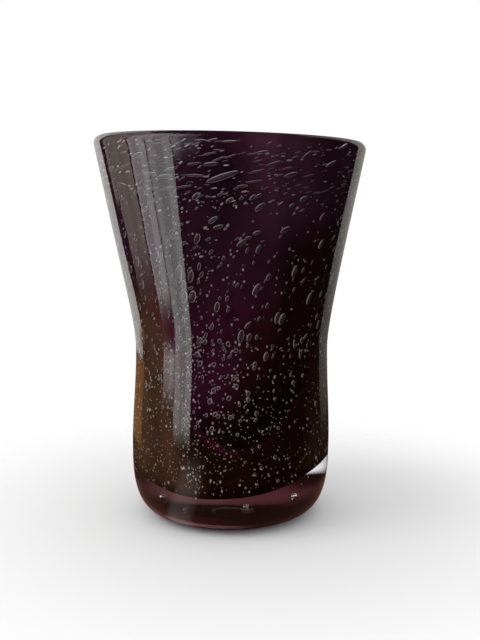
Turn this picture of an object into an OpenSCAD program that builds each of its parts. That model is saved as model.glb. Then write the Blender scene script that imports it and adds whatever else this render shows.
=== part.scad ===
// Waisted vase of cased, bubbled glass. A dark amethyst cup wears a clear casing, which holds most
// of the bubbles, and stands in a thick base slab. Millimetres, with the foot at z = 0.

/* [Vessel] */
// Overall height from the foot to the top of the lip
height = 220; // [212:1:250]
// Outer diameter at the rim
rim_d = 156; // [140:1:170]
// Outer diameter at the waist
waist_d = 113; // [100:1:115]
// Height of the waist above the foot
waist_h = 99; // [85:1:115]
// Height over which the waist turns into the straight flare
waist_turn = 14; // [6:1:30]
// Outer diameter at the belly
belly_d = 117; // [116:1:128]
// Height of the belly above the foot
belly_h = 41; // [38:1:55]
// Squareness of the heel curve, where 2 is a quarter of an ellipse
heel_square = 3; // [2:0.1:4]
// Diameter of the flat foot
foot_d = 66; // [50:1:80]

/* [Glass layers] */
// Thickness of the clear casing on the wall
casing_t = 4.8; // [3.6:0.1:6]
// Thickness of the amethyst cup's wall
cup_t = 4.2; // [3:0.1:6]
// Thickness of the amethyst cup's bottom
cup_bottom_t = 7; // [5:0.5:10]
// Radius of the amethyst cup's outer bottom corner
cup_corner_r = 24; // [20:1:26]
// Radius where the cavity's wall meets its floor
floor_corner_r = 16; // [12:1:18]
// Thickness of the base slab under the amethyst cup
slab_t = 22; // [18:1:26]
// How far the base slab climbs round the amethyst cup's corner
slab_lap = 3; // [1:0.5:4]

/* [Pontil mark] */
// Diameter of the polished hollow in the foot
pontil_d = 28; // [16:1:40]
// Depth of the polished hollow
pontil_depth = 1.6; // [0.5:0.1:3]

/* [Lip bubbles] */
// How many drawn-out bubbles lie below the lip
lip_count = 24; // [4:1:40]
// Greatest length of a lip bubble
lip_bubble_l = 9; // [5:0.5:12]
// Greatest width of a lip bubble
lip_bubble_w = 2.2; // [1.2:0.1:2.4]
// Rise of the lip bubbles from level, in degrees
lip_lean = 14; // [5:1:30]

/* [Flare bubbles] */
// Height where the lip bubbles take over from the flare bubbles
flare_top_h = 186; // [180:1:190]
// How many bubbles lie in the flare
flare_count = 24; // [4:1:40]
// Greatest length of a flare bubble
flare_bubble_l = 6.5; // [4:0.5:9]
// Greatest width of a flare bubble
flare_bubble_w = 2.6; // [1.5:0.1:3]
// Rise of the flare bubbles from level, in degrees
flare_lean = 42; // [30:1:60]

/* [Waist bubbles] */
// Height where the flare bubbles take over from the waist bubbles
waist_top_h = 158; // [152:1:162]
// How many bubbles lie round the waist
waist_count = 36; // [4:1:50]
// Greatest length of a waist bubble
waist_bubble_l = 8; // [4:0.5:9]
// Greatest width of a waist bubble
waist_bubble_w = 3.4; // [2:0.1:3.6]
// Rise of the waist bubbles from level, in degrees
waist_lean = 72; // [60:1:90]

/* [Belly bubbles] */
// Height where the waist bubbles take over from the belly bubbles
belly_top_h = 106; // [98:1:112]
// How many round bubbles lie in the belly
belly_count = 30; // [4:1:50]
// Greatest diameter of a belly bubble
belly_bubble_d = 3; // [1.5:0.1:3.6]

/* [Heel bubbles] */
// Height where the belly bubbles take over from the heel bubbles
heel_top_h = 62; // [58:1:68]
// How many round bubbles lie at the heel
heel_count = 20; // [4:1:30]
// Greatest diameter of a heel bubble
heel_bubble_d = 2.2; // [1:0.1:3]

/* [Slab bubbles] */
// How many stray bubbles lie in the base slab
slab_count = 13; // [3:1:20]
// Diameter of a slab bubble
slab_bubble_d = 2.2; // [1:0.1:3]

/* [Bubble spread] */
// Least glass between a bubble and a face of its layer
bubble_skin = 0.6; // [0.4:0.05:0.8]
// Size of the smallest bubble in a zone, as a share of the greatest
least_share = 0.55; // [0.4:0.05:1]
// How far a bubble's lean strays either way, in degrees
lean_stray = 10; // [0:1:15]

/* [Hidden] */

// Steps along each stretch of the profile, and facets of a full turn.
HEEL_STEPS = 8;
WALL_STEPS = 24;
CORNER_STEPS = 8;
LIP_STEPS = 8;
ROUND = 128;
BUBBLE_ROUND = 32;

rim_r = rim_d / 2;
waist_r = waist_d / 2;
belly_r = belly_d / 2;
foot_r = foot_d / 2;
wall_t = casing_t + cup_t;
lip_r = wall_t / 2;
seam_h = slab_t + slab_lap;
corner_h = slab_t + cup_corner_r;
floor_h = slab_t + cup_bottom_t;
floor_corner_h = floor_h + floor_corner_r;

// Rise of the straight part of the flare, radius for height.
flare_rise = (rim_r - waist_r) / (norm([height - lip_r - waist_h, waist_turn]) - waist_turn);

// Evenly spaced numbers from a to b, both included.
function span(a, b, steps) = [for (i = [0:steps]) a + (b - a) * i / steps];

// Outer radius at a height, on the heel's rounded square, the belly's swell and the flare.
function heel_r(h) =
    foot_r + (belly_r - foot_r) * pow(1 - pow(1 - h / belly_h, heel_square), 1 / heel_square);
function swell_r(h) =
    waist_r + (belly_r - waist_r) * (1 + cos(180 * (h - belly_h) / (waist_h - belly_h))) / 2;
function flare_r(h) = waist_r + flare_rise * (norm([h - waist_h, waist_turn]) - waist_turn);
function outer_r(h) = h < belly_h ? heel_r(h) : h < waist_h ? swell_r(h) : flare_r(h);

// Lean of the outer wall from upright at a height, outwards positive.
TINY = 0.01;
function wall_lean(h) = atan((outer_r(h + TINY) - outer_r(h - TINY)) / (2 * TINY));

// The point at a depth under the outer surface, square to it.
function under(h, depth) =
    [outer_r(h) - depth * cos(wall_lean(h)), h + depth * sin(wall_lean(h))];

// Points up the heel, closest together where it turns most.
function heel_turn(h) = acos(pow(1 - h / belly_h, heel_square / 2));
function heel_h(turn) = belly_h * (1 - pow(cos(turn), 2 / heel_square));
function heel(low, high) =
    [for (turn = span(heel_turn(low), heel_turn(high), HEEL_STEPS)) [heel_r(heel_h(turn)), heel_h(turn)]];

// A wall at one depth between two heights, in either direction.
function wall(from, to, depth) = [for (h = span(from, to, WALL_STEPS)) under(h, depth)];

// The lip is half a circle that runs into both walls. Angles count from the outer wall.
lip_tilt = wall_lean(height - lip_r);
lip_h = height - lip_r - lip_r * sin(lip_tilt);
lip_centre = under(lip_h, lip_r);
lip_seam = acos(1 - casing_t / lip_r);
function lip(from, to) =
    [for (a = span(from, to, LIP_STEPS)) lip_centre + lip_r * [cos(a - lip_tilt), sin(a - lip_tilt)]];

// A rounded bottom corner that runs into the wall at a depth. Angles count from straight down.
function corner(depth, radius, middle_h, from, to) =
    [for (a = span(from, to, CORNER_STEPS))
        [under(middle_h, depth)[0] - radius + radius * sin(a), middle_h - radius * cos(a)]];
seam_turn = acos((corner_h - seam_h) / cup_corner_r);

function reversed(points) = [for (i = [len(points) - 1:-1:0]) points[i]];
function without_first(points) = [for (i = [1:len(points) - 1]) points[i]];

module turned(points) {
    rotate_extrude($fn = ROUND) polygon(points);
}

// A bubble drawn out along Z, with round ends.
module drawn_bubble(long, wide) {
    rotate_extrude($fn = BUBBLE_ROUND) intersection() {
        union() {
            for (side = [-1, 1])
                translate([0, side * (long - wide) / 2]) circle(d = wide, $fn = BUBBLE_ROUND);
            square([wide, long - wide], center = true);
        }
        translate([0, -long]) square(2 * long);
    }
}

// One bubble halfway through the casing, leaning in the wall's own plane.
module casing_bubble(turn, h, long, wide, lean) {
    place = under(h, casing_t / 2);
    rotate([0, 0, turn]) translate([place[0], 0, place[1]])
        rotate([0, wall_lean(h), 0]) rotate([lean - 90, 0, 0])
            if (long > wide)
                drawn_bubble(long, wide);
            else
                sphere(d = wide, $fn = BUBBLE_ROUND);
}

// A zone's bubbles wind up the wall by the golden angle, which keeps them all apart.
GOLDEN = 180 * (3 - sqrt(5));
module bubble_zone(count, low, high, long, wide, lean, seed) {
    share = rands(least_share, 1, count, seed);
    stray = rands(-lean_stray, lean_stray, count, seed + 1);
    widest = min(wide, casing_t - 2 * bubble_skin);
    step = (high - low - long) / count;
    for (i = [0:count - 1])
        casing_bubble(i * GOLDEN, low + long / 2 + (i + 0.5) * step,
            long * share[i], widest * share[i], lean + stray[i]);
}

module lip_zone() {
    bubble_zone(lip_count, flare_top_h, lip_h, lip_bubble_l, lip_bubble_w, lip_lean, 11);
}

module flare_zone() {
    bubble_zone(flare_count, waist_top_h, flare_top_h, flare_bubble_l, flare_bubble_w, flare_lean, 23);
}

module waist_zone() {
    bubble_zone(waist_count, belly_top_h, waist_top_h, waist_bubble_l, waist_bubble_w, waist_lean, 37);
}

module belly_zone() {
    bubble_zone(belly_count, heel_top_h, belly_top_h, belly_bubble_d, belly_bubble_d, 0, 41);
}

module heel_zone() {
    bubble_zone(heel_count, seam_h + heel_bubble_d, heel_top_h, heel_bubble_d, heel_bubble_d, 0, 53);
}

// Stray bubbles of the slab, on a sunflower spread that rises and falls about its middle.
module slab_zone() {
    reach = foot_r - slab_bubble_d;
    swing = slab_t / 4;
    for (i = [0:slab_count - 1])
        rotate([0, 0, i * GOLDEN])
            translate([reach * sqrt((i + 0.5) / slab_count), 0, slab_t / 2 + swing * sin(i * GOLDEN)])
                sphere(d = slab_bubble_d, $fn = BUBBLE_ROUND);
}

// The dark inner gather, from the cavity's wall to the seam, with the inner half of the lip.
module amethyst_cup() {
    color([0.16, 0.05, 0.13])
        turned(concat(
            [[0, slab_t]],
            corner(casing_t, cup_corner_r, corner_h, 0, 90),
            without_first(wall(corner_h, lip_h, casing_t)),
            lip(lip_seam, 180),
            without_first(wall(lip_h, floor_corner_h, wall_t)),
            without_first(corner(wall_t, floor_corner_r, floor_corner_h, 90, 0)),
            [[0, floor_h]]));
}

// The clear outer gather, with the outer half of the lip and a void for each bubble.
module clear_casing() {
    color([0.75, 0.68, 0.74, 0.35])
        difference() {
            turned(concat(
                heel(seam_h, belly_h),
                without_first(wall(belly_h, lip_h, 0)),
                without_first(lip(0, lip_seam)),
                reversed(wall(corner_h, lip_h, casing_t)),
                without_first(corner(casing_t, cup_corner_r, corner_h, 90, seam_turn))));
            lip_zone();
            flare_zone();
            waist_zone();
            belly_zone();
            heel_zone();
        }
}

// The thick slab that the cup sits in, with its ground foot and the hollow of the pontil mark.
module base_slab() {
    hollow_r = (pow(pontil_d / 2, 2) + pow(pontil_depth, 2)) / (2 * pontil_depth);
    color([0.45, 0.25, 0.33, 0.5])
        difference() {
            turned(concat(
                [[0, 0]],
                heel(0, seam_h),
                corner(casing_t, cup_corner_r, corner_h, seam_turn, 0),
                [[0, slab_t]]));
            translate([0, 0, pontil_depth - hollow_r]) sphere(r = hollow_r, $fn = ROUND);
            slab_zone();
        }
}

module bubbles_lip() {
    color("white") lip_zone();
}

module bubbles_flare() {
    color("white") flare_zone();
}

module bubbles_waist() {
    color("white") waist_zone();
}

module bubbles_belly() {
    color("white") belly_zone();
}

module bubbles_heel() {
    color("white") heel_zone();
}

module bubbles_slab() {
    color("white") slab_zone();
}

amethyst_cup();
clear_casing();
base_slab();
bubbles_lip();
bubbles_flare();
bubbles_waist();
bubbles_belly();
bubbles_heel();
bubbles_slab();
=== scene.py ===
import math
import random
from collections import namedtuple
from itertools import product

import bmesh
import bpy
from bpy.props import FloatProperty, FloatVectorProperty, PointerProperty
from mathutils import Matrix, Vector, noise


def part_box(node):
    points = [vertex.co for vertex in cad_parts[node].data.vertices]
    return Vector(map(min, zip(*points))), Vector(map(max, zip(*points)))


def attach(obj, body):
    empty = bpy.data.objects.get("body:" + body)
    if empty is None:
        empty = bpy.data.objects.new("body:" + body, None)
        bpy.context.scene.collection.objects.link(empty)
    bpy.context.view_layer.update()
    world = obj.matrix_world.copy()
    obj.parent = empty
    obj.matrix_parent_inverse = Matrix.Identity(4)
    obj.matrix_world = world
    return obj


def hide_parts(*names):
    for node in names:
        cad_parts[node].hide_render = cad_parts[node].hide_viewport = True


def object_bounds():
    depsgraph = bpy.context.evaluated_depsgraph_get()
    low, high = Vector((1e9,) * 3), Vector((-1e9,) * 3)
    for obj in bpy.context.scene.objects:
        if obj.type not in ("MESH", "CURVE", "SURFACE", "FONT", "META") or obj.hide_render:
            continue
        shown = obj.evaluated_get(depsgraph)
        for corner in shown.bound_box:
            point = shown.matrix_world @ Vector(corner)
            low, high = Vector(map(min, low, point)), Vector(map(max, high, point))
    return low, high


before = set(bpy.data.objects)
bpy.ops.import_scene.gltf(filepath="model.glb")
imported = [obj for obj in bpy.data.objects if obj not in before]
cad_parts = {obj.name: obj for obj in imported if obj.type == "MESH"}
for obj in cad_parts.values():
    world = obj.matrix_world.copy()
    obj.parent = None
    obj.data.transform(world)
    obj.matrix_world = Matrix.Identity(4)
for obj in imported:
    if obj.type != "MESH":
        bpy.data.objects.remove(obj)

bl_info = {
    "name": "Bubbled Glass Vase",
    "version": (1, 0, 0),
    "blender": (4, 5, 0),
    "location": "View3D > Sidebar > Glass Vase",
    "description": "Dresses the packed vase: amethyst glass, trapped bubbles and a small studio",
    "category": "Add Mesh",
}

BODY = "root"
MM = 0.001
CAD_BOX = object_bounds()
CASING_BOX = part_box("clear_casing")
CUP_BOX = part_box("amethyst_cup")

# A zone of bubbles: heights, how many, least and greatest length, share of the length that is its
# width, and the lean from level with its stray, in mm and degrees.
Zone = namedtuple("Zone", "name low high count least most slim lean stray")
OVAL_ZONES = (
    Zone("ovals_lip", 190, 215, 270, 2.6, 10.0, 0.13, 12, 8),
    Zone("ovals_flare", 162, 192, 110, 2.2, 5.4, 0.44, 32, 14),
    Zone("ovals_waist", 100, 164, 270, 2.0, 5.6, 0.46, 68, 13),
    Zone("ovals_belly", 62, 112, 260, 1.4, 3.2, 0.74, 78, 14),
    Zone("ovals_heel", 30, 62, 60, 1.2, 2.0, 0.90, 84, 8),
)
SEED_ZONES = (
    Zone("seeds_lip", 184, 215, 460, 0.9, 3.6, 0.26, 14, 12),
    Zone("seeds_flare", 156, 188, 260, 0.7, 2.3, 0.55, 36, 18),
    Zone("seeds_waist", 102, 160, 600, 0.6, 1.8, 0.62, 70, 18),
    Zone("seeds_belly", 58, 108, 900, 0.5, 1.5, 0.82, 80, 14),
    Zone("seeds_heel", 26, 60, 900, 0.35, 1.05, 0.92, 86, 10),
)

# Some crowd round one turn of the axis: that turn and its spread in radians, and their share.
CROWD_TURN = -1.85
CROWD_SPREAD = 0.32
CROWD_SHARE = 0.16

# The room that each keeps round it, as a share of its length, and the glass over and under it.
ELBOW_ROOM = 0.3
OUTER_SKIN = 0.0007
INNER_SKIN = 0.0006

# The shares of its zone's width between which a bubble's own width lies.
WIDTH_STRAY = (0.85, 1.15)

# How often a bubble looks for a free place before it is given up.
TRIES = 20

# What the draws of chance start from.
OVALS_DRAW = 5
SEEDS_DRAW = 7

# The casing has room for bubbles this deep, in mm.
LARGE_DEPTH = 3.4

# The largest bubbles: turn round the axis, height, length, width and lean, in degrees and mm.
LARGE_BUBBLES = (
    (-116, 146, 10.5, 4.0, 76),
    (-115, 134, 7.5, 4.2, 80),
    (-110, 134, 7.0, 3.8, 72),
    (-105, 165, 6.0, 2.8, 66),
    (-93, 197, 17.0, 3.0, 20),
    (-62, 122, 6.5, 3.4, 74),
    (40, 140, 8.0, 3.6, 75),
    (150, 152, 9.0, 3.6, 70),
    (95, 190, 14.0, 2.8, 22),
)


def number(name, description, default):
    return FloatProperty(name=name, description=description, default=default)


def length(name, description, default):
    return FloatProperty(
        name=name, description=description, default=default, unit="LENGTH", precision=5)


def angle(name, description, degrees):
    return FloatProperty(
        name=name, description=description, default=math.radians(degrees), subtype="ANGLE")


def colour(name, description, default):
    return FloatVectorProperty(
        name=name, description=description, default=default, size=3, subtype="COLOR", min=0, max=1)


class VesselSizes(bpy.types.PropertyGroup):
    height: length("Height", "From the foot to the top of the lip", CAD_BOX[1].z)
    rim_radius: length("Rim radius", "Outer radius at the rim", CASING_BOX[1].x)
    waist_radius: length("Waist radius", "Outer radius at the waist", 0.0565)
    waist_height: length("Waist height", "Height of the waist", 0.099)
    waist_turn: length("Waist turn", "Height over which the waist turns into the flare", 0.014)
    belly_radius: length("Belly radius", "Outer radius at the belly", 0.0585)
    belly_height: length("Belly height", "Height of the belly", 0.041)
    foot_radius: length("Foot radius", "Radius of the flat foot", 0.033)
    heel_square: number("Heel squareness", "2 is a quarter of an ellipse", 3.0)
    casing: length("Casing", "Thickness of the clear casing", 0.0048)
    wall: length("Wall", "Thickness of the whole wall", 0.009)
    cup_corner: length("Cup corner", "Outer corner radius of the amethyst cup", 0.024)
    floor_corner: length("Floor corner", "Corner radius of the cavity's floor", 0.016)
    cup_low: length("Cup underside", "Height of the amethyst cup's underside", CUP_BOX[0].z)
    cup_bottom: length("Cup bottom", "Thickness of the amethyst cup's bottom", 0.007)
    pontil_radius: length("Pontil radius", "Radius of the hollow in the foot", 0.014)
    pontil_depth: length("Pontil depth", "Depth of the hollow in the foot", 0.0016)
    rim_drop: length("Rim drop", "How much lower the rim is on the right than on the left", 0.004)
    waist_shift: length("Waist shift", "How far the waist stands to the right of the axis", 0.0009)
    cup_round: length("Cup roundness", "How much higher the cup's underside is at its edge", 0.003)
    cup_flank: length("Cup flanks", "How much higher again it is at its left and right", 0.004)
    cup_sag: length("Cup sag", "How much lower its middle hangs", 0.0029)
    cup_tilt: number("Cup tilt", "Rise of the cup's underside to the right", 0.075)
    cup_lean: number("Cup lean", "Rise of the cup's underside to the back", 0.07)
    waver: length("Waver", "Depth of the hand-blown waver of the surface", 0.00022)


class GlassLooks(bpy.types.PropertyGroup):
    clear: colour("Clear glass", "Tint of the clear casing", (0.95, 0.92, 0.94))
    rose: colour("Rose glass", "Tint of the slab on its left", (0.026, 0.0040, 0.0048))
    # Painted shade: the slab's tint turns near black on its right, away from the window.
    shaded_wine: colour("Wine glass", "Tint of the slab on its darker right", (0.0001, 0.00001, 0.00001))
    # Painted light: a paler band low in the slab's right, at the back.
    lit_pink: colour("Pink band", "A paler band low in the slab's right", (0.0058, 0.0004, 0.0008))
    foot: colour("Foot", "Tint of what the foot throws back through the slab", (0.52, 0.20, 0.21))
    amethyst: colour("Amethyst", "The cup's upper half", (0.048, 0.0120, 0.0285))
    plum: colour("Plum", "The cup's lower half", (0.083, 0.0118, 0.039))
    # Painted light: a paler violet patch near the rim, where light comes in through the mouth.
    lit_violet: colour("Violet", "A paler patch near the rim", (0.135, 0.043, 0.082))
    # Painted shade and a painted brown reflection on the cup's right side.
    umber_shade_and_reflection: colour("Umber", "The cup's dark side", (0.023, 0.0042, 0.0026))
    bottom: colour("Bottom", "The cup's thick bottom", (0.0155, 0.0045, 0.0016))
    # Painted reflection: a brown table, seen low on the cup's sides.
    ochre_reflection: colour("Ochre", "Where the cup is thinnest and brown", (0.098, 0.047, 0.023))
    # The colour of the dark streaks, and the painted shade of the cavity's foot seen through the
    # cup.
    hollow: colour("Hollow", "Foot of the cavity, seen through the cup", (0.0050, 0.0016, 0.0014))
    scar: colour("Pontil scar", "Dark grain of the foot's hollow", (0.07, 0.018, 0.016))
    scar_pale: colour("Pale scar", "Pale grain of the foot's hollow", (0.13, 0.036, 0.034))
    # Painted reflection: the pale flank of each bubble.
    gas: colour("Gas", "What a bubble's flank throws back", (0.95, 0.92, 0.88))
    seed: colour("Seed", "What the finest seeds throw back", (0.78, 0.74, 0.69))
    seed_shade: colour("Seed shade", "The same on their dark sides", (0.234, 0.222, 0.207))
    refraction: number("Refractive index", "Of the glass", 1.5)


class StudioSetup(bpy.types.PropertyGroup):
    distance: length("Camera distance", "From the vase's axis", 0.5444)
    camera_height: length("Camera height", "Above the floor", 0.1855)
    pitch: angle("Camera pitch", "Below level", 7.53)
    yaw: angle("Camera yaw", "To the right of the vase", 0.615)
    lens: FloatProperty(
        name="Lens", description="Focal length", default=52.4, subtype="DISTANCE_CAMERA")
    drum: length("Drum", "Radius of the drum of screens round the vase", 0.21)
    window: number("Window light", "Radiance of the window lamp", 2.0)
    floor_radius: length("Floor radius", "Where the floor has faded out", 0.26)
    room: number("Room", "Brightness in gloss of the room before the vase", 0.015)
    shade: number("Shade", "Brightness through glass, away from the window", 0.25)
    side: number("Side light", "Brightness through glass of the window", 2.0)
    dome: number("Dome", "Soft light from all round", 0.95)
    floor_colour: colour("Floor colour", "Pale grey of the floor", (0.88, 0.88, 0.88))
    gloss_colour: colour("Floor in gloss", "As gloss shows it near the vase", (0.28, 0.12, 0.09))
    dusk_colour: colour("Floor at dusk", "As gloss shows it further off", (0.05, 0.02, 0.012))
    # Painted reflection: the window's shine on the floor, shown in gloss alone.
    shine_reflection_colour: colour("Floor's shine", "As gloss shows the window's shine", (0.85, 0.71, 0.67))
    glass_colour: colour("Floor through glass", "As it shows through glass", (0.95, 0.78, 0.73))


# ---------------------------------------------------------------- the vessel's profile

# How far apart two points are taken to find the wall's lean.
PROFILE_STEP = 0.00001


def sizes():
    return bpy.context.scene.vase_sizes


def looks():
    return bpy.context.scene.vase_looks


def studio():
    return bpy.context.scene.vase_studio


def flare_rise(s):
    """Rise of the straight part of the flare, radius for height."""
    tall = s.height - s.wall / 2 - s.waist_height
    return (s.rim_radius - s.waist_radius) / (math.hypot(tall, s.waist_turn) - s.waist_turn)


def outer_radius(h, s):
    """Outer radius at a height: the heel's rounded square, the belly's swell or the flare."""
    if h < s.belly_height:
        square = 1 - (1 - max(h, 0) / s.belly_height) ** s.heel_square
        return s.foot_radius + (s.belly_radius - s.foot_radius) * square ** (1 / s.heel_square)
    if h < s.waist_height:
        share = (h - s.belly_height) / (s.waist_height - s.belly_height)
        swell = s.belly_radius - s.waist_radius
        return s.waist_radius + swell * (1 + math.cos(math.pi * share)) / 2
    above = math.hypot(h - s.waist_height, s.waist_turn) - s.waist_turn
    return s.waist_radius + flare_rise(s) * above


def wall_lean(h, s):
    rise = outer_radius(h + PROFILE_STEP, s) - outer_radius(h - PROFILE_STEP, s)
    return math.atan(rise / (2 * PROFILE_STEP))


def under(h, depth, s):
    """The point of the profile at a depth under the outer surface, square to it."""
    lean = wall_lean(h, s)
    return outer_radius(h, s) - depth * math.cos(lean), h + depth * math.sin(lean)


def span(a, b, steps):
    return [a + (b - a) * i / steps for i in range(steps + 1)]


def heel_points(s, steps=14):
    turns = span(0, math.pi / 2, steps)
    heights = [s.belly_height * (1 - max(math.cos(t), 0) ** (2 / s.heel_square)) for t in turns]
    return [(outer_radius(h, s), h) for h in heights]


def wall_points(low, high, depth, s, steps=64):
    return [under(h, depth, s) for h in span(low, high, steps)]


def lip_height(s):
    lip = s.wall / 2
    return s.height - lip - lip * math.sin(wall_lean(s.height - lip, s))


def lip_points(start, end, s, steps=10):
    """Points of the rounded lip. Angles count from the outer wall, over the top, inward."""
    lip = s.wall / 2
    tilt = wall_lean(s.height - lip, s)
    r, z = under(lip_height(s), lip, s)
    return [(r + lip * math.cos(a - tilt), z + lip * math.sin(a - tilt))
            for a in span(start, end, steps)]


def corner_points(depth, radius, middle, start, end, s, steps=12):
    """A rounded bottom corner that runs into the wall. Angles count from straight down."""
    side = under(middle, depth, s)[0]
    return [(side - radius + radius * math.sin(a), middle - radius * math.cos(a))
            for a in span(start, end, steps)]


def pontil_points(s, steps=8):
    """The shallow hollow of the pontil mark, from the axis out to the foot's flat ring."""
    ball = (s.pontil_radius ** 2 + s.pontil_depth ** 2) / (2 * s.pontil_depth)
    return [(r, s.pontil_depth - ball + math.sqrt(ball ** 2 - r ** 2))
            for r in span(0, s.pontil_radius, steps)]


# ---------------------------------------------------------------- making meshes

def smooth(x):
    x = min(max(x, 0), 1)
    return x * x * (3 - 2 * x)


def ease(x, start, reach):
    return smooth((x - start) / reach)


# The waver: the pace of its noise across and up the vase. It grows from the ground foot up to a
# height, and leaves a radius round the axis alone.
WAVER_ACROSS = 18
WAVER_UP = 11
WAVER_FULL = 0.02
WAVER_NONE = 0.02

# How far up and down the waist's shift reaches.
SWAY_REACH = 0.05

# The form of the cup's bottom. Each change has its start and its reach: in from the casing's outer
# face, up from its foot, out again above, out from the axis, and out to the left and right.
FORM_IN = (0.001, 0.0035)
FORM_UP = (0.01, 0.01)
FORM_ABOVE = (0.03, 0.035)
FORM_EDGE = (0.015, 0.025)
FORM_FLANK = (0.012, 0.042)


def cup_rise(co, r, s):
    """How much higher the cup's bottom lies at a point than it was turned."""
    if not FORM_UP[0] < co.z < sum(FORM_ABOVE):
        return 0
    share = ease(outer_radius(co.z, s) - r, *FORM_IN)
    share *= ease(co.z, *FORM_UP) * (1 - ease(co.z, *FORM_ABOVE))
    edge = s.cup_round * ease(r, *FORM_EDGE)
    flank = s.cup_flank * ease(abs(co.x), *FORM_FLANK)
    return share * (edge + flank - s.cup_sag + s.cup_tilt * co.x + s.cup_lean * co.y)


def hand_blown(co, s):
    """Moves a point as the maker's hand left it: a rim that dips, a waist off its axis, a rounded
    and tilted cup, and a slow waver."""
    r = math.hypot(co.x, co.y)
    across = (co.x + s.rim_radius) / (2 * s.rim_radius)
    dip = s.rim_drop * smooth(co.z / s.height) * across
    sway = s.waist_shift * math.exp(-((co.z - s.waist_height) / SWAY_REACH) ** 2)
    wave = noise.noise(Vector((co.x * WAVER_ACROSS, co.y * WAVER_ACROSS, co.z * WAVER_UP)))
    shrink = s.waver * (1 + wave) * smooth(co.z / WAVER_FULL)
    keep = 1 - shrink / r if r > WAVER_NONE else 1
    return Vector((co.x * keep + sway, co.y * keep, co.z - dip + cup_rise(co, r, s)))


def mark_flanks(bm, s):
    """Marks each point of a bubble with how far it faces out of the wall, from -1 to 1."""
    bm.normal_update()
    facing = bm.verts.layers.float.new("facing")
    for v in bm.verts:
        lean = wall_lean(v.co.z, s)
        r = math.hypot(v.co.x, v.co.y) or 1
        outward = (v.normal.x * v.co.x + v.normal.y * v.co.y) / r
        v[facing] = outward * math.cos(lean) - v.normal.z * math.sin(lean)


def new_piece(name, bm, materials, replaced=()):
    """Turns a bmesh into a finished piece: hand-blown, smooth, and riding on the vase."""
    s = sizes()
    for v in bm.verts:
        v.co = hand_blown(v.co, s)
    mesh = bpy.data.meshes.new(name)
    bm.to_mesh(mesh)
    bm.free()
    for polygon in mesh.polygons:
        polygon.use_smooth = True
    for material in materials:
        mesh.materials.append(material)
    piece = bpy.data.objects.new(name, mesh)
    bpy.context.scene.collection.objects.link(piece)
    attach(piece, BODY)
    if replaced:
        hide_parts(*replaced)
    return piece


def turn_profile(points, segments=192):
    """Spins a profile that starts and ends on the axis into a closed body, faces outward."""
    bm = bmesh.new()
    verts = [bm.verts.new((r, 0, z)) for r, z in points]
    edges = [bm.edges.new(pair) for pair in zip(verts, verts[1:])]
    bmesh.ops.spin(bm, geom=verts + edges, cent=(0, 0, 0), axis=(0, 0, 1), angle=math.tau,
                   steps=segments, use_merge=True, use_duplicate=False)
    bmesh.ops.remove_doubles(bm, verts=bm.verts, dist=1e-6)
    bmesh.ops.recalc_face_normals(bm, faces=bm.faces)
    return bm


def bubble_place(turn, h, depth, lean, s):
    """Stands a bubble in the wall: turned round the axis, sunk to its depth, and leaning in the
    wall's own plane."""
    r, z = under(h, depth, s)
    tilt = lean - math.pi / 2
    return (Matrix.Rotation(turn, 4, "Z") @ Matrix.Translation((r, 0, z))
            @ Matrix.Rotation(wall_lean(h, s), 4, "Y") @ Matrix.Rotation(tilt, 4, "X"))


def packed_bubbles(node):
    """The place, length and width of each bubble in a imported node."""
    bm = bmesh.new()
    bm.from_mesh(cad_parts[node].data)
    bmesh.ops.remove_doubles(bm, verts=bm.verts, dist=1e-6)
    for v in bm.verts:
        v.tag = False
    for first in bm.verts:
        if first.tag:
            continue
        first.tag = True
        island, edge = [first], [first]
        while edge:
            for link in edge.pop().link_edges:
                for v in link.verts:
                    if not v.tag:
                        v.tag = True
                        island.append(v)
                        edge.append(v)
        centre = sum((v.co for v in island), Vector()) / len(island)
        tip = max(island, key=lambda v: (v.co - centre).length).co - centre
        along = tip.normalized()
        if along.z < 0:
            along.negate()
        wide = 2 * max((v.co - centre - along * along.dot(v.co - centre)).length for v in island)
        out = Vector((centre.x, centre.y, 0))
        out = (out - along * along.dot(out)).normalized()
        place = Matrix((out, along.cross(out), along)).transposed().to_4x4()
        place.translation = centre
        yield place, 2 * tip.length, wide
    bm.free()


class Spread:
    """Keeps bubbles apart. It looks them up by cell, each wider than two bubbles' reach."""
    CELL = 0.009
    NEAR = (-1, 0, 1)

    def __init__(self):
        self.cells = {}

    def cell(self, centre):
        return tuple(math.floor(c / self.CELL) for c in centre)

    def take(self, centre, reach):
        self.cells.setdefault(self.cell(centre), []).append((centre, reach))

    def free(self, centre, reach):
        x, y, z = self.cell(centre)
        for i, j, k in product(self.NEAR, repeat=3):
            for other, other_reach in self.cells.get((x + i, y + j, z + k), ()):
                if (other - centre).length < reach + other_reach:
                    return False
        return True


def ball_mesh(segments, rings):
    """A ball 1 m in radius, copied for each bubble."""
    bm = bmesh.new()
    bmesh.ops.create_uvsphere(bm, u_segments=segments, v_segments=rings, radius=1)
    ball = bpy.data.meshes.new("ball")
    bm.to_mesh(ball)
    bm.free()
    return ball


def add_bubble(bm, ball, place, deep, wide, long):
    copy = ball.copy()
    copy.transform(place @ Matrix.Diagonal((deep / 2, wide / 2, long / 2, 1)))
    bm.from_mesh(copy)
    bpy.data.meshes.remove(copy)


SPREAD = Spread()


# ---------------------------------------------------------------- materials

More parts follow.
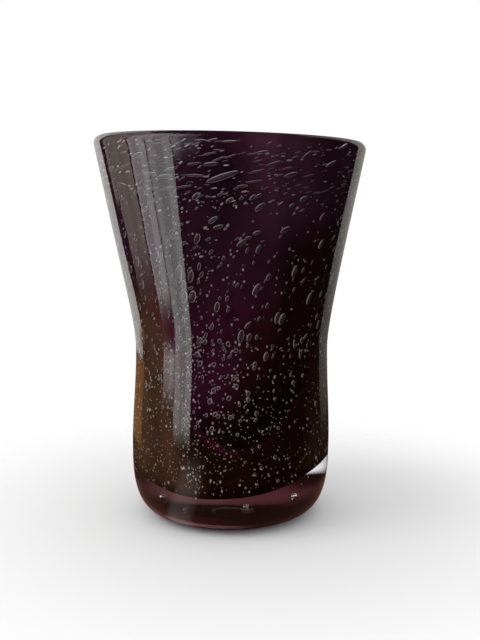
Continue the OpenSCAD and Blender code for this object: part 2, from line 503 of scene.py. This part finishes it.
class Graph:
    """The nodes of a material or of the world, with short ways to add to them."""

    def __init__(self, tree):
        self.nodes, self.links = tree.nodes, tree.links

    def feed(self, socket, value):
        """Links a socket to a socket, or sets it to a number, a vector or a colour."""
        if isinstance(value, bpy.types.NodeSocket):
            self.links.new(value, socket)
        elif socket.type == "RGBA":
            socket.default_value = (*value, 1)
        else:
            socket.default_value = value

    def fill(self, node, inputs):
        for name, value in inputs.items():
            self.feed(node.inputs[name], value)

    def add(self, kind, inputs=None, **settings):
        node = self.nodes.new("ShaderNode" + kind)
        for name, value in settings.items():
            setattr(node, name, value)
        self.fill(node, inputs or {})
        return node

    def maths(self, operation, *values):
        return self.add("Math", dict(enumerate(values)), operation=operation).outputs[0]

    def rise(self, value, low, high):
        """A smooth step of a value, from 0 at low to 1 at high."""
        inputs = {"Value": value, "From Min": low, "From Max": high}
        return self.add("MapRange", inputs, interpolation_type="SMOOTHSTEP").outputs["Result"]

    def fall(self, value, low, high):
        """A smooth step of a value, from 1 at low to 0 at high."""
        return self.maths("SUBTRACT", 1, self.rise(value, low, high))

    def mix(self, mask, a, b):
        """Colour a where the mask is 0, and b where it is 1."""
        return self.add("Mix", {"Factor": mask, "A": a, "B": b}, data_type="RGBA").outputs["Result"]

    def place(self):
        """The point on the vase, as a vector and as its three parts."""
        where = self.add("TexCoord").outputs["Object"]
        return where, self.add("SeparateXYZ", {"Vector": where}).outputs

    def streaks(self, where, scale, stretch, detail=3):
        """Noise drawn out along the vase's height."""
        squeezed = self.add("Mapping", {"Vector": where, "Scale": (1, 1, stretch)}).outputs[0]
        inputs = {"Vector": squeezed, "Scale": scale, "Detail": detail}
        return self.add("TexNoise", inputs).outputs["Fac"]


def new_material(name):
    material = bpy.data.materials.new(name)
    material.use_nodes = True
    graph = Graph(material.node_tree)
    return material, graph, graph.nodes["Principled BSDF"]


# The glass clears upward between these heights, softly at the front and sharply at the back, and
# the one gives way to the other between these places.
FRONT_CLEARS = (0.0140, 0.0230)
BACK_CLEARS = (0.0142, 0.0166)
FRONT_TO_BACK = (-0.020, 0.030)

# The slab darkens to the right with painted shade, away from the window. At the back there it has a
# paler band of painted light, up to these heights.
ROSE_TO_WINE = (-0.030, 0.014)
BAND_TOP = (0.0066, 0.0128)
BAND_LEFT = (-0.004, 0.006)

# What the ground foot throws back is rose too, up to these heights and out to these radii.
FOOT_TOP = (0.0018, 0.0030)
FOOT_EDGE = (0.033, 0.035)


def clear_glass():
    """Clear glass that turns rose in the base slab, with a slow waver in its polish. The slab's
    tint holds painted shade on its right and a paler band of painted light. A look through the slab
    is tinted once where it enters, and once more where it leaves on the far side."""
    look = looks()
    material, graph, shader = new_material("clear_and_rose_glass")
    maths, rise, fall, mix = graph.maths, graph.rise, graph.fall, graph.mix
    where, (x, y, z) = graph.place()

    front = maths("POWER", rise(z, *FRONT_CLEARS), 2)
    behind = rise(z, *BACK_CLEARS)
    back = rise(y, *FRONT_TO_BACK)
    clearness = maths("MULTIPLY_ADD", maths("SUBTRACT", behind, front), back, front)

    # Painted shade: the slab turns near black towards its right.
    slab = mix(rise(x, *ROSE_TO_WINE), look.rose, look.shaded_wine)
    # Painted light: a paler pink band low at the back right of the slab.
    band = maths("MULTIPLY", maths("POWER", fall(z, *BAND_TOP), 2), rise(x, *BAND_LEFT))
    slab = mix(maths("MULTIPLY", band, back), slab, look.lit_pink)

    reach = maths("SQRT", maths("MULTIPLY_ADD", x, x, maths("MULTIPLY", y, y)))
    off_foot = maths("MAXIMUM", rise(z, *FOOT_TOP), rise(reach, *FOOT_EDGE))

    polish = graph.streaks(where, scale=46, stretch=0.35, detail=1)
    bump = graph.add("Bump", {"Height": polish, "Distance": 0.0006, "Strength": 0.35})
    graph.fill(shader, {
        "Base Color": mix(clearness, slab, look.clear),
        "Specular Tint": mix(off_foot, look.foot, (1, 1, 1)),
        "Transmission Weight": 1,
        "Roughness": 0,
        "IOR": look.refraction,
        "Normal": bump.outputs["Normal"],
    })
    return material


def pontil_scar():
    """The dark, dense glass of the hollow where the iron held the foot."""
    look = looks()
    material, graph, shader = new_material("pontil_scar")
    grain = graph.streaks(graph.place()[0], scale=300, stretch=1)
    tint = graph.mix(grain, look.scar, look.scar_pale)
    graph.fill(shader, {"Base Color": tint, "Roughness": 0.25})
    return material


# The cup's patches of colour: the heights, or the places across, between which each one comes or
# goes. An edge that leans moves across by its lean as it climbs, and a strength is a patch's most.
PLUM_TO_AMETHYST = (0.10, 0.16)
# Where the painted light near the rim lies.
VIOLET_LOW = (0.150, 0.195)
VIOLET_MIDDLE = 0.027
VIOLET_REACH = (0.002, 0.026)
# Where the painted shade and brown reflection on the right side lie.
UMBER_PLACE = 0.039
UMBER_LEAN = -0.30
UMBER_EDGE = (0.008, 0.032)
UMBER_TOP = (0.14, 0.19)
UMBER_LOSS = 0.85
# Where the painted reflection of the brown table lies.
OCHRE_PLACE = -0.008
OCHRE_LEAN = -0.22
OCHRE_EDGE = (-0.006, 0.012)
OCHRE_TOP = (0.118, 0.150)
OCHRE_RIGHT_EDGE = (0.038, 0.054)
OCHRE_RIGHT_TOP = (0.080, 0.110)
OCHRE_RIGHT_STRENGTH = 0.55

# Clouds push those edges about by this much, across and up.
CLOUD_ASIDE = 0.030
CLOUD_UP = 0.026

# The bottom ends at a line that is bowed up at its ends.
BOWL_MIDDLE = 0.004
BOWL_BOW = 26
BOTTOM_TOP = (0.0445, 0.0475)

# Above that line the foot of the cavity is dark with painted shade.
HOLLOW_LOW = (0.0475, 0.0520)
HOLLOW_TOP = (0.060, 0.095)
HOLLOW_SLOPE = -0.5
HOLLOW_MIDDLE = 0.006
HOLLOW_REACH = (0.024, 0.036)
HOLLOW_STRENGTH = 0.9

# Dark streaks lie where the noise is low.
STREAK_EDGE = (0.36, 0.62)
STREAK_STRENGTH = 0.45


def amethyst_glass(name, cased):
    """Near-black amethyst and plum, darker where its bottom is thick. It holds painted light near
    the rim, painted shade and painted brown reflections on its sides, and painted shade at the
    cavity's foot. Under the casing it meets no air, so it has no gloss there."""
    look = looks()
    material, graph, shader = new_material(name)
    maths, rise, fall, mix = graph.maths, graph.rise, graph.fall, graph.mix
    where, (x, _, z) = graph.place()
    clouds = maths("SUBTRACT", graph.streaks(where, scale=30, stretch=0.5, detail=4), 0.5)
    aside = maths("ADD", x, maths("MULTIPLY", clouds, CLOUD_ASIDE))
    height = maths("ADD", z, maths("MULTIPLY", clouds, CLOUD_UP))

    def beside(middle, reach):
        return fall(maths("ABSOLUTE", maths("SUBTRACT", aside, middle)), *reach)

    # Plum below and amethyst above, with a paler patch of painted light right of the middle near
    # the rim, where light comes in through the mouth.
    tint = mix(rise(height, *PLUM_TO_AMETHYST), look.plum, look.amethyst)
    patch = maths("MULTIPLY", rise(z, *VIOLET_LOW), beside(VIOLET_MIDDLE, VIOLET_REACH))
    tint = mix(patch, tint, look.lit_violet)

    # Painted shade and a painted brown reflection on the right side, fading towards the rim.
    edge = maths("MULTIPLY_ADD", z, UMBER_LEAN, maths("ADD", aside, UMBER_PLACE))
    kept = fall(maths("MULTIPLY", rise(z, *UMBER_TOP), UMBER_LOSS), 0, 1)
    tint = mix(maths("MULTIPLY", rise(edge, *UMBER_EDGE), kept), tint, look.umber_shade_and_reflection)

    # The thick bottom.
    bow = maths("MULTIPLY", maths("POWER", maths("SUBTRACT", x, BOWL_MIDDLE), 2), BOWL_BOW)
    bowl = maths("SUBTRACT", z, bow)
    tint = mix(fall(bowl, *BOTTOM_TOP), tint, look.bottom)

    # Painted reflection of a brown table, in ochre, low on the left and less so on the right.
    edge = maths("SUBTRACT", maths("MULTIPLY_ADD", z, OCHRE_LEAN, OCHRE_PLACE), aside)
    left = maths("MULTIPLY", rise(edge, *OCHRE_EDGE), fall(height, *OCHRE_TOP))
    tint = mix(left, tint, look.ochre_reflection)
    right = maths("MULTIPLY", rise(aside, *OCHRE_RIGHT_EDGE), fall(height, *OCHRE_RIGHT_TOP))
    tint = mix(maths("MULTIPLY", right, OCHRE_RIGHT_STRENGTH), tint, look.ochre_reflection)

    # Dark streaks all over.
    streaks = fall(graph.streaks(where, scale=40, stretch=0.14), *STREAK_EDGE)
    tint = mix(maths("MULTIPLY", streaks, STREAK_STRENGTH), tint, look.hollow)

    # Painted shade: the dark foot of the cavity, seen through the cup.
    top = fall(maths("ADD", height, maths("MULTIPLY", x, HOLLOW_SLOPE)), *HOLLOW_TOP)
    hollow = maths("MULTIPLY", rise(bowl, *HOLLOW_LOW), top)
    hollow = maths("MULTIPLY", hollow, beside(HOLLOW_MIDDLE, HOLLOW_REACH))
    tint = mix(maths("MULTIPLY", hollow, HOLLOW_STRENGTH), tint, look.hollow)

    graph.fill(shader, {
        "Base Color": tint,
        "Roughness": 0.5 if cased else 0.03,
        "Specular IOR Level": 0.0 if cased else 0.5,
        "IOR": look.refraction,
    })
    return material


# A bubble's bright flank, a painted reflection, comes and goes between these values of its facing.
FLANK_COMES = (-0.30, 0.05)
FLANK_GOES = (0.34, 0.72)


def gas_bubble():
    """A pocket of gas in glass. Its flanks carry a painted reflection, and its middle shows the
    cup.
    """
    look = looks()
    material, graph, shader = new_material("gas_bubble")
    facing = graph.add("Attribute", attribute_name="facing").outputs["Fac"]
    comes, goes = graph.rise(facing, *FLANK_COMES), graph.fall(facing, *FLANK_GOES)
    tint = graph.mix(graph.maths("MULTIPLY", comes, goes), look.amethyst, look.gas)
    graph.fill(shader, {"Base Color": tint, "Roughness": 0.35})
    return material


def gas_pocket():
    """A pocket of gas in the slab, which bends what lies behind it."""
    material, graph, shader = new_material("gas_pocket")
    graph.fill(shader, {"Transmission Weight": 1, "Roughness": 0, "IOR": 1 / looks().refraction})
    return material


def gas_seed():
    """A seed too fine to show its own middle."""
    look = looks()
    material, graph, shader = new_material("gas_seed")
    speckle = graph.streaks(graph.place()[0], scale=400, stretch=1, detail=0)
    tint = graph.mix(speckle, look.seed_shade, look.seed)
    graph.fill(shader, {"Base Color": tint, "Roughness": 0.4})
    return material


# ---------------------------------------------------------------- operators

class VASE_OT_glass(bpy.types.Operator):
    """Turns the clear casing and the rose slab as one body of glass"""
    bl_idname = "vase.glass"
    bl_label = "Casing and slab"

    def execute(self, context):
        s = sizes()
        lip = s.wall / 2
        seam = math.acos(1 - s.casing / lip)
        # Its inner face lies just inside the cup, so the eye meets the cup first. Over the lip it
        # runs a little past the seam.
        tuck = 0.0004
        overlap = 0.12
        corner_low = s.cup_low + s.cup_corner
        points = pontil_points(s) + heel_points(s)
        points += wall_points(s.belly_height, lip_height(s), 0, s)[1:]
        points += lip_points(0, seam + overlap, s)[1:]
        points += wall_points(lip_height(s), corner_low, s.casing + tuck, s)
        points += corner_points(
            s.casing + tuck, s.cup_corner - tuck, corner_low, math.pi / 2, 0, s)[1:]
        points += [(0, s.cup_low + tuck)]
        bm = turn_profile(points)
        for face in bm.faces:
            x, y, z = face.calc_center_median()
            in_hollow = z < s.pontil_depth and math.hypot(x, y) < s.pontil_radius
            face.material_index = int(in_hollow)
        materials = [clear_glass(), pontil_scar()]
        new_piece("clear_glass_body", bm, materials, ("clear_casing", "base_slab"))
        return {"FINISHED"}


class VASE_OT_cup(bpy.types.Operator):
    """Turns the amethyst cup, with its cavity and the inner half of the lip"""
    bl_idname = "vase.cup"
    bl_label = "Amethyst cup"

    def execute(self, context):
        s = sizes()
        lip = s.wall / 2
        seam = math.acos(1 - s.casing / lip)
        corner_low = s.cup_low + s.cup_corner
        floor_low = s.cup_low + s.cup_bottom
        floor_middle = floor_low + s.floor_corner
        points = [(0, s.cup_low)]
        points += corner_points(s.casing, s.cup_corner, corner_low, 0, math.pi / 2, s)
        points += wall_points(corner_low, lip_height(s), s.casing, s)[1:]
        points += lip_points(seam, math.pi, s)
        points += wall_points(lip_height(s), floor_middle, s.wall, s)[1:]
        points += corner_points(s.wall, s.floor_corner, floor_middle, math.pi / 2, 0, s)[1:]
        points += [(0, floor_low)]
        bm = turn_profile(points)
        # Only the cavity and the lip meet the air.
        for face in bm.faces:
            centre, normal = face.calc_center_median(), face.normal
            inward = normal.x * centre.x + normal.y * centre.y < 0
            face.material_index = int(inward or normal.z > 0.5)
        materials = [amethyst_glass("amethyst_under_casing", cased=True),
                     amethyst_glass("amethyst_in_air", cased=False)]
        new_piece("amethyst_cup_body", bm, materials, ("amethyst_cup",))
        return {"FINISHED"}


class VASE_OT_bubbles(bpy.types.Operator):
    """Draws each packed bubble as an oval, and adds the largest ones"""
    bl_idname = "vase.bubbles"
    bl_label = "Packed bubbles"

    def execute(self, context):
        s = sizes()
        over_cup, in_slab = gas_bubble(), gas_pocket()
        ball = ball_mesh(segments=20, rings=14)
        for node in [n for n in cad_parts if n.startswith("bubbles_")]:
            bm = bmesh.new()
            for place, long, wide in packed_bubbles(node):
                add_bubble(bm, ball, place, wide, wide, long)
                SPREAD.take(place.translation.copy(), ELBOW_ROOM * long)
            mark_flanks(bm, s)
            gas = in_slab if node == "bubbles_slab" else over_cup
            new_piece(node.replace("bubbles", "gas"), bm, [gas], (node,))
        bm = bmesh.new()
        for turn, h, long, wide, lean in LARGE_BUBBLES:
            deep = min(wide, LARGE_DEPTH) * MM
            place = bubble_place(math.radians(turn), h * MM, s.casing / 2, math.radians(lean), s)
            add_bubble(bm, ball, place, deep, wide * MM, long * MM)
            SPREAD.take(place.translation.copy(), ELBOW_ROOM * long * MM)
        mark_flanks(bm, s)
        new_piece("gas_large", bm, [over_cup])
        bpy.data.meshes.remove(ball)
        return {"FINISHED"}


def scatter(zones, material, segments, rings, marked, draw):
    """Fills each zone of the casing with bubbles that keep apart. Most are small."""
    s = sizes()
    chance = random.Random(draw)
    ball = ball_mesh(segments, rings)
    for zone in zones:
        bm = bmesh.new()
        for _ in range(zone.count):
            for _ in range(TRIES):
                long = (zone.least + (zone.most - zone.least) * chance.random() ** 2) * MM
                wide = long * zone.slim * chance.uniform(*WIDTH_STRAY)
                if chance.random() < CROWD_SHARE:
                    turn = chance.gauss(CROWD_TURN, CROWD_SPREAD)
                else:
                    turn = chance.uniform(-math.pi, math.pi)
                h = chance.uniform(zone.low, zone.high) * MM
                depth = chance.uniform(OUTER_SKIN + wide / 2, s.casing - INNER_SKIN - wide / 2)
                lean = math.radians(chance.gauss(zone.lean, zone.stray))
                place = bubble_place(turn, h, depth, lean, s)
                centre = place.translation.copy()
                if SPREAD.free(centre, ELBOW_ROOM * long):
                    SPREAD.take(centre, ELBOW_ROOM * long)
                    add_bubble(bm, ball, place, wide, wide, long)
                    break
        if marked:
            mark_flanks(bm, s)
        new_piece(zone.name, bm, [material])
    bpy.data.meshes.remove(ball)


class VASE_OT_ovals(bpy.types.Operator):
    """Scatters the middling bubbles of each zone through the casing"""
    bl_idname = "vase.ovals"
    bl_label = "Oval bubbles"

    def execute(self, context):
        material = bpy.data.materials["gas_bubble"]
        scatter(OVAL_ZONES, material, segments=14, rings=10, marked=True, draw=OVALS_DRAW)
        return {"FINISHED"}


class VASE_OT_seeds(bpy.types.Operator):
    """Scatters the fine seeds of each zone through the casing"""
    bl_idname = "vase.seeds"
    bl_label = "Fine seeds"

    def execute(self, context):
        scatter(SEED_ZONES, gas_seed(), segments=8, rings=6, marked=False, draw=SEEDS_DRAW)
        return {"FINISHED"}


class VASE_OT_studio(bpy.types.Operator):
    """Sets the floor, the backdrop, the screens, the window's lamp and the camera"""
    bl_idname = "vase.studio"
    bl_label = "Studio"

    def execute(self, context):
        make_floor()
        make_world()
        for screen in SCREENS:
            make_screen(screen)
        make_lamp()
        make_camera()
        context.scene.view_settings.view_transform = "Standard"
        return {"FINISHED"}


# ---------------------------------------------------------------- the studio

# The floor lies just under the foot. Its gloss darkens between two distances, and shows a painted
# reflection of the window's shine along one direction, between two cosines.
FLOOR_GAP = 0.0006
DUSK = (0.078, 0.104)
SHINE = (-0.629, -0.777, 0)
SHINE_EDGE = (0.970, 0.999)

# It fades out between these shares of its radius.
FLOOR_FADE = (0.4, 0.98)


def make_floor():
    """A pale disc that holds the vase's shadow and fades out into the backdrop."""
    st = studio()
    bm = bmesh.new()
    bmesh.ops.create_circle(bm, cap_ends=True, segments=96, radius=st.floor_radius)
    for v in bm.verts:
        v.co.z = -FLOOR_GAP
    mesh = bpy.data.meshes.new("floor")
    bm.to_mesh(mesh)
    bm.free()
    material, graph, shader = new_material("pale_floor")
    where = graph.add("TexCoord").outputs["Object"]
    path = graph.add("LightPath").outputs
    reach = graph.add("VectorMath", {0: where}, operation="LENGTH").outputs["Value"]
    outward = graph.add("VectorMath", {0: where}, operation="NORMALIZE").outputs["Vector"]
    towards = graph.add("VectorMath", {0: outward, 1: SHINE}, operation="DOT_PRODUCT")
    shine = graph.rise(towards.outputs["Value"], *SHINE_EDGE)
    seen = graph.mix(graph.rise(reach, *DUSK), st.gloss_colour, st.dusk_colour)
    seen = graph.mix(shine, seen, st.shine_reflection_colour)
    seen = graph.mix(path["Is Transmission Ray"], seen, st.glass_colour)
    seen = graph.mix(path["Is Camera Ray"], seen, st.floor_colour)
    graph.fill(shader, {"Base Color": seen, "Roughness": 0.9, "Specular IOR Level": 0})
    fade = graph.rise(reach, *(st.floor_radius * share for share in FLOOR_FADE))
    gone = graph.add("BsdfTransparent").outputs["BSDF"]
    surface = graph.add("MixShader", {0: fade, 1: shader.outputs["BSDF"], 2: gone})
    graph.feed(graph.nodes["Material Output"].inputs["Surface"], surface.outputs["Shader"])
    mesh.materials.append(material)
    floor = bpy.data.objects.new("floor", mesh)
    bpy.context.scene.collection.objects.link(floor)


# Soft light seen through glass: a direction, and the cosines between which it begins and is full.
BACK_LOBE = ((-0.6, 0.7, 0.4), -0.1, 0.7)
SIDE_LOBE = ((-0.60, -0.36, 0.72), 0.45, 0.95)


def make_world():
    """White to the eye, dark in gloss, and brighter on the window's side through glass."""
    st = studio()
    world = bpy.data.worlds.new("studio")
    bpy.context.scene.world = world
    world.use_nodes = True
    graph = Graph(world.node_tree)
    where = graph.add("TexCoord").outputs["Generated"]

    def lobe(direction, low, high, strength):
        inputs = {0: where, 1: Vector(direction).normalized()}
        towards = graph.add("VectorMath", inputs, operation="DOT_PRODUCT").outputs["Value"]
        return graph.maths("MULTIPLY", graph.rise(towards, low, high), strength)

    lobes = graph.maths("ADD", lobe(*BACK_LOBE, 1 - st.shade), lobe(*SIDE_LOBE, st.side))
    bright = graph.maths("ADD", lobes, st.shade)
    through = graph.add("CombineColor", {0: bright, 1: bright, 2: bright}).outputs[0]
    path = graph.add("LightPath").outputs
    seen = graph.mix(path["Is Glossy Ray"], (st.dome,) * 3, (st.room,) * 3)
    seen = graph.mix(path["Is Transmission Ray"], seen, through)
    seen = graph.mix(path["Is Camera Ray"], seen, (1, 1, 1))
    graph.fill(graph.nodes["Background"], {"Color": seen})


# Soft screens on a drum round the vase, seen in its gloss alone: turns from the camera's side, left
# positive, and heights; the widths of the soft edges; the radiance at the start, how fast it falls
# off towards the end and its share at the foot; the strength of the upright pleats; the colour.
Screen = namedtuple(
    "Screen", "name start end low high soft_side soft_low radiance fall foot pleats colour")
SCREENS = (
    Screen("window", 40.5, 61.0, 0.012, 0.50, 0.6, 0.034, 2.92, 0.18, 0, 0.17, (0.95, 1.0, 0.97)),
    Screen("curtain", 61.0, 76.5, 0.046, 0.50, 0.4, 0.026, 2.95, 0.10, 0, 0.22, (0.99, 1.0, 0.99)),
    Screen("window_top", 40.5, 22.0, 0.152, 0.50, 0.4, 0.020, 2.6, 1.9, 0, 0.30, (0.98, 0.99, 1.0)),
    Screen("olive_wall", 77.5, 104, 0.060, 0.50, 0.6, 0.060, 1.35, 0.7, 0, 0.10, (1.0, 0.96, 0.78)),
    Screen("olive_strip", 104, 111, 0.146, 0.50, 0.6, 0.014, 0.66, 0.1, 0, 0.20, (1.0, 0.97, 0.80)),
    Screen("pale_wall", 117.5, 152, 0.062, 0.50, 0.3, 0.006, 1.52, 1.05, 0, 0, (1.0, 0.99, 0.96)),
    Screen("low_wall", 112, 152, 0.0, 0.064, 0.6, 0.006, 0.52, 0.80, 0.6, 0, (1.0, 0.47, 0.16)),
    Screen("far_wall", -113, -150, 0.060, 0.50, 0.3, 0.110, 0.66, 0.6, 0.42, 0, (1.0, 0.94, 0.86)),
    Screen("far_low_wall", -113, -150, 0.0, 0.060, 0.3, 0.062, 0.3, 0.8, 0.1, 0, (1.0, 0.86, 0.72)),
)

# The pleats of a screen: radians to the degree, how far noise pushes them about, and its scale.
PLEAT_PACE = 0.6
PLEAT_STRAY = 9
PLEAT_NOISE = 0.2


def screen_light(screen, wide, tall):
    """A light whose edges are soft, which falls off along the screen and has upright pleats."""
    material, graph, shader = new_material(screen.name)
    graph.nodes.remove(shader)
    maths, rise, fall = graph.maths, graph.rise, graph.fall
    place = graph.add("TexCoord").outputs["UV"]
    u, v, _ = graph.add("SeparateXYZ", {"Vector": place}).outputs
    side = screen.soft_side / wide
    level = maths("EXPONENT", maths("MULTIPLY", u, -screen.fall))
    level = maths("MULTIPLY", level, screen.radiance)
    level = maths("MULTIPLY", level, rise(u, 0, side))
    level = maths("MULTIPLY", level, fall(u, 1 - side, 1))
    climb = rise(v, 0, screen.soft_low / tall)
    climb = maths("MULTIPLY_ADD", climb, 1 - screen.foot, screen.foot)
    level = maths("MULTIPLY", level, climb)
    if screen.pleats:
        stray = graph.add("TexNoise", {"W": u, "Scale": wide * PLEAT_NOISE}, noise_dimensions="1D")
        stray = maths("MULTIPLY", stray.outputs["Fac"], PLEAT_STRAY)
        wave = maths("SINE", maths("MULTIPLY_ADD", u, wide * PLEAT_PACE, stray))
        level = maths("MULTIPLY", level, maths("MULTIPLY_ADD", wave, screen.pleats, 1))
    light = graph.add("Emission", {"Color": screen.colour, "Strength": level}).outputs[0]
    graph.feed(graph.nodes["Material Output"].inputs["Surface"], light)
    return material


def make_screen(screen):
    """Bends a soft-edged screen round the drum."""
    reach = studio().drum
    wide, tall = screen.end - screen.start, screen.high - screen.low
    bm = bmesh.new()
    bm.loops.layers.uv.new("UVMap")
    bmesh.ops.create_grid(bm, x_segments=12, y_segments=2, size=1, calc_uvs=True)
    for v in bm.verts:
        turn = math.radians(screen.start + wide * (v.co.x + 1) / 2)
        height = screen.low + tall * (v.co.y + 1) / 2
        v.co = (-math.sin(turn) * reach, -math.cos(turn) * reach, height)
    mesh = bpy.data.meshes.new(screen.name)
    bm.to_mesh(mesh)
    bm.free()
    mesh.materials.append(screen_light(screen, abs(wide), tall))
    piece = bpy.data.objects.new(screen.name, mesh)
    bpy.context.scene.collection.objects.link(piece)
    piece.visible_camera = piece.visible_diffuse = False
    piece.visible_transmission = piece.visible_shadow = False


LAMP_PLACE = Vector((-0.62, -0.25, 0.55))
LAMP_AIM = Vector((0, 0, 0.08))
LAMP_SIZE = (0.5, 0.6)


def make_lamp():
    """The window's own light on the floor. What gloss shows of the window is its screen."""
    data = bpy.data.lights.new("window_lamp", "AREA")
    data.shape = "RECTANGLE"
    data.size, data.size_y = LAMP_SIZE
    data.energy = studio().window * math.pi * data.size * data.size_y
    lamp = bpy.data.objects.new("window_lamp", data)
    lamp.location = LAMP_PLACE
    lamp.rotation_euler = (LAMP_AIM - LAMP_PLACE).to_track_quat("-Z", "Y").to_euler()
    lamp.visible_camera = lamp.visible_glossy = False
    bpy.context.scene.collection.objects.link(lamp)


SENSOR_WIDTH = 36


def make_camera():
    """Stands the camera before the vase, a little above its middle."""
    st = studio()
    data = bpy.data.cameras.new("camera")
    data.lens = st.lens
    data.sensor_width = SENSOR_WIDTH
    data.clip_start = 0.01
    camera = bpy.data.objects.new("camera", data)
    camera.location = (0, -st.distance, st.camera_height)
    camera.rotation_euler = (math.pi / 2 - st.pitch, 0, -st.yaw)
    bpy.context.scene.collection.objects.link(camera)
    bpy.context.scene.camera = camera


# ---------------------------------------------------------------- panel and registration

class VASE_PT_panel(bpy.types.Panel):
    bl_label = "Glass Vase"
    bl_idname = "VASE_PT_panel"
    bl_space_type = "VIEW_3D"
    bl_region_type = "UI"
    bl_category = "Glass Vase"

    def draw(self, context):
        for operator in OPERATORS:
            self.layout.operator(operator.bl_idname)
        for group in (sizes(), looks(), studio()):
            box = self.layout.box()
            for name in group.__annotations__:
                box.prop(group, name)


GROUPS = (VesselSizes, GlassLooks, StudioSetup)
OPERATORS = (
    VASE_OT_glass, VASE_OT_cup, VASE_OT_bubbles, VASE_OT_ovals, VASE_OT_seeds, VASE_OT_studio)


def register():
    for item in (*GROUPS, *OPERATORS, VASE_PT_panel):
        bpy.utils.register_class(item)
    bpy.types.Scene.vase_sizes = PointerProperty(type=VesselSizes)
    bpy.types.Scene.vase_looks = PointerProperty(type=GlassLooks)
    bpy.types.Scene.vase_studio = PointerProperty(type=StudioSetup)


def unregister():
    del bpy.types.Scene.vase_sizes, bpy.types.Scene.vase_looks, bpy.types.Scene.vase_studio
    for item in reversed((*GROUPS, *OPERATORS, VASE_PT_panel)):
        bpy.utils.unregister_class(item)


def main():
    register()
    bpy.ops.vase.glass()
    bpy.ops.vase.cup()
    bpy.ops.vase.bubbles()
    bpy.ops.vase.ovals()
    bpy.ops.vase.seeds()
    bpy.ops.vase.studio()


if __name__ == "__main__":
    main()
